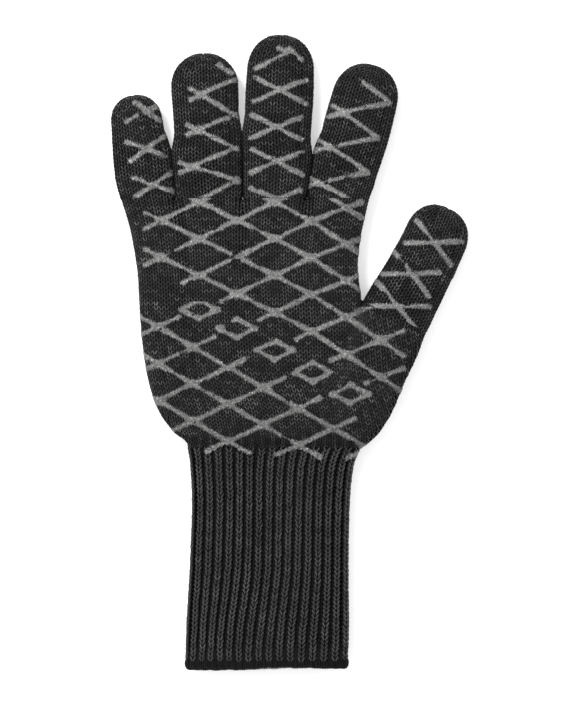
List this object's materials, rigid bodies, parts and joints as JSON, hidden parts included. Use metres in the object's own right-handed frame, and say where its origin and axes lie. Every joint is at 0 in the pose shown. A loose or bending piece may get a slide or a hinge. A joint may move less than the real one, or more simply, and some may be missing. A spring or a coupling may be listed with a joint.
{
  "type": "knit heat resistant glove",
  "caption": "Lined knit grill glove with a long ribbed cuff, bending finger and thumb stalls and raised diamond grip prints on the palm side.",
  "frame": {"origin": "below the middle of the glove's outline, on the surface it lies on", "axes": "+Y from the cuff to the fingertips, +X towards the thumb, +Z out of the printed palm side"},
  "size_m": [0.1845, 0.3301, 0.0228],
  "materials": {
    "knit": "charcoal stockinette and rib knit, matt",
    "lining": "soft grey cotton knit, matt",
    "binding": "overlocked charcoal yarn, matt",
    "silicone": "mid grey silicone print, satin"
  },
  "bodies": {
    "palm": {"palm_shell": "knit", "palm_liner": "lining", "palm_grip_upper": "silicone", "palm_grip_lower": "silicone", "band_lozenge_1": "silicone", "band_lozenge_2": "silicone", "band_lozenge_3": "silicone", "band_lozenge_4": "silicone", "band_lozenge_5": "silicone"},
    "cuff": {"cuff_shell": "knit", "cuff_liner": "lining", "cuff_hem": "binding"},
    "little_lower": {"little_shell_lower": "knit", "little_liner_lower": "lining", "little_grip_1": "silicone"},
    "little_upper": {"little_shell_upper": "knit", "little_liner_upper": "lining", "little_grip_2": "silicone", "little_grip_3": "silicone"},
    "ring_lower": {"ring_shell_lower": "knit", "ring_liner_lower": "lining", "ring_grip_1": "silicone"},
    "ring_upper": {"ring_shell_upper": "knit", "ring_liner_upper": "lining", "ring_grip_2": "silicone"},
    "middle_lower": {"middle_shell_lower": "knit", "middle_liner_lower": "lining", "middle_grip_1": "silicone", "middle_grip_2": "silicone"},
    "middle_upper": {"middle_shell_upper": "knit", "middle_liner_upper": "lining", "middle_grip_3": "silicone", "middle_grip_4": "silicone"},
    "index_lower": {"index_shell_lower": "knit", "index_liner_lower": "lining", "index_grip_1": "silicone"},
    "index_upper": {"index_shell_upper": "knit", "index_liner_upper": "lining", "index_grip_2": "silicone"},
    "thumb_lower": {"thumb_shell_lower": "knit", "thumb_liner_lower": "lining", "thumb_grip_1": "silicone", "thumb_grip_2": "silicone"},
    "thumb_upper": {"thumb_shell_upper": "knit", "thumb_liner_upper": "lining", "thumb_grip_3": "silicone"}
  },
  "joints": [
    {"name": "wrist_fold", "type": "hinge", "parent": "palm", "child": "cuff", "pos_m": [-0.008, -0.05, 0.0178], "axis": [-1, 0, 0], "range_deg": [0, 60]},
    {"name": "little_knuckle", "type": "hinge", "parent": "palm", "child": "little_lower", "pos_m": [-0.0734, 0.079, 0.0178], "axis": [1, 0, 0], "range_deg": [0, 80]},
    {"name": "little_bend", "type": "hinge", "parent": "little_lower", "child": "little_upper", "pos_m": [-0.07636, 0.09858, 0.01593], "axis": [0.9888, 0.1495, 0], "range_deg": [0, 85]},
    {"name": "ring_knuckle", "type": "hinge", "parent": "palm", "child": "ring_lower", "pos_m": [-0.0419, 0.079, 0.0178], "axis": [1, 0, 0], "range_deg": [0, 80]},
    {"name": "ring_bend", "type": "hinge", "parent": "ring_lower", "child": "ring_upper", "pos_m": [-0.04362, 0.11836, 0.01648], "axis": [0.999, 0.0436, 0], "range_deg": [0, 85]},
    {"name": "middle_knuckle", "type": "hinge", "parent": "palm", "child": "middle_lower", "pos_m": [-0.0078, 0.079, 0.0178], "axis": [1, 0, 0], "range_deg": [0, 80]},
    {"name": "middle_bend", "type": "hinge", "parent": "middle_lower", "child": "middle_upper", "pos_m": [-0.00581, 0.12556, 0.01643], "axis": [0.9991, -0.0427, 0], "range_deg": [0, 85]},
    {"name": "index_knuckle", "type": "hinge", "parent": "palm", "child": "index_lower", "pos_m": [0.02555, 0.079, 0.0178], "axis": [1, 0, 0], "range_deg": [0, 80]},
    {"name": "index_bend", "type": "hinge", "parent": "index_lower", "child": "index_upper", "pos_m": [0.0356, 0.1173, 0.01643], "axis": [0.9673, -0.2538, 0], "range_deg": [0, 85]},
    {"name": "thumb_knuckle", "type": "hinge", "parent": "palm", "child": "thumb_lower", "pos_m": [0.054, 0.0177, 0.0178], "axis": [0.9011, -0.4337, 0], "range_deg": [0, 50]},
    {"name": "thumb_bend", "type": "hinge", "parent": "thumb_lower", "child": "thumb_upper", "pos_m": [0.06866, 0.04816, 0.01626], "axis": [0.9011, -0.4337, 0], "range_deg": [0, 70]}
  ]
}
